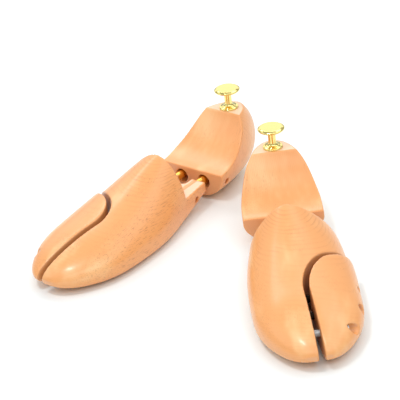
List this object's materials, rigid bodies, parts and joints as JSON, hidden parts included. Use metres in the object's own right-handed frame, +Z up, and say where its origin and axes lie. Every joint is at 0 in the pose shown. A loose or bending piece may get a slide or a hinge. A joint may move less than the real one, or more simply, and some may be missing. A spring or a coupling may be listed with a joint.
{
  "type": "shoe tree pair",
  "caption": "Pair of sprung wooden shoe stretchers with a split toe, a sliding heel block on brass tubes and a brass pull knob.",
  "frame": {"origin": "centre of the pair's footprint, on the surface that both trees stand on", "axes": "+Z up; -Y along the right tree towards its toe; +X to the right tree's wedge side"},
  "size_m": [0.2799, 0.3892, 0.0874],
  "materials": {
    "beech": "satin lacquered beech",
    "brass": "polished",
    "steel": "bright zinc plated",
    "spring": "drawn spring wire"
  },
  "bodies": {
    "right_forepart": {"right_forepart": "beech", "right_tongue_pin": "steel", "right_stop_screw": "steel", "right_main_spring_wedge_side": "spring", "right_main_spring_plain_side": "spring", "right_toe_spring_front": "spring", "right_toe_spring_rear": "spring"},
    "right_slider": {"right_tube_wedge_side": "brass", "right_tube_plain_side": "brass", "right_tube_caps": "brass", "right_heel_pin": "steel"},
    "right_heel": {"right_heel_block": "beech", "right_knob": "brass", "right_knob_stud": "steel"},
    "right_wedge": {"right_toe_wedge": "beech", "right_guide_pin_front": "steel", "right_guide_pin_rear": "steel"},
    "left_forepart": {"left_forepart": "beech", "left_tongue_pin": "steel", "left_stop_screw": "steel", "left_main_spring_wedge_side": "spring", "left_main_spring_plain_side": "spring", "left_toe_spring_front": "spring", "left_toe_spring_rear": "spring"},
    "left_slider": {"left_tube_wedge_side": "brass", "left_tube_plain_side": "brass", "left_tube_caps": "brass", "left_heel_pin": "steel"},
    "left_heel": {"left_heel_block": "beech", "left_knob": "brass", "left_knob_stud": "steel"},
    "left_wedge": {"left_toe_wedge": "beech", "left_guide_pin_front": "steel", "left_guide_pin_rear": "steel"}
  },
  "joints": [
    {"name": "right_length", "type": "slide", "parent": "right_forepart", "child": "right_slider", "axis": [0, -1, 0], "range_m": [0, 0.008], "stiffness_N_per_m": 3000, "springref_m": -0.004, "deforming": ["right_main_spring_wedge_side", "right_main_spring_plain_side"]},
    {"name": "right_heel_tilt", "type": "hinge", "parent": "right_slider", "child": "right_heel", "pos_m": [0.0881, 0.0184, 0.021], "axis": [1, 0, 0], "range_deg": [-9, 5]},
    {"name": "right_toe_width", "type": "slide", "parent": "right_forepart", "child": "right_wedge", "axis": [-1, 0, 0], "range_m": [0, 0.0034], "stiffness_N_per_m": 2500, "springref_m": -0.003, "deforming": ["right_toe_spring_front", "right_toe_spring_rear"]},
    {"name": "left_stands_free", "type": "slide", "parent": "right_forepart", "child": "left_forepart", "axis": [0, 0, 1], "range_m": [0, 0.12]},
    {"name": "left_length", "type": "slide", "parent": "left_forepart", "child": "left_slider", "axis": [-0.6652, -0.7466, 0], "range_m": [0, 0.008], "stiffness_N_per_m": 3000, "springref_m": -0.004, "deforming": ["left_main_spring_wedge_side", "left_main_spring_plain_side"]},
    {"name": "left_heel_tilt", "type": "hinge", "parent": "left_slider", "child": "left_heel", "pos_m": [0.01679, 0.12872, 0.021], "axis": [0.7466, -0.6652, 0], "range_deg": [-9, 5]},
    {"name": "left_toe_width", "type": "slide", "parent": "left_forepart", "child": "left_wedge", "axis": [0.7466, -0.6652, 0], "range_m": [0, 0.004], "stiffness_N_per_m": 2500, "springref_m": -0.003, "deforming": ["left_toe_spring_front", "left_toe_spring_rear"]}
  ]
}
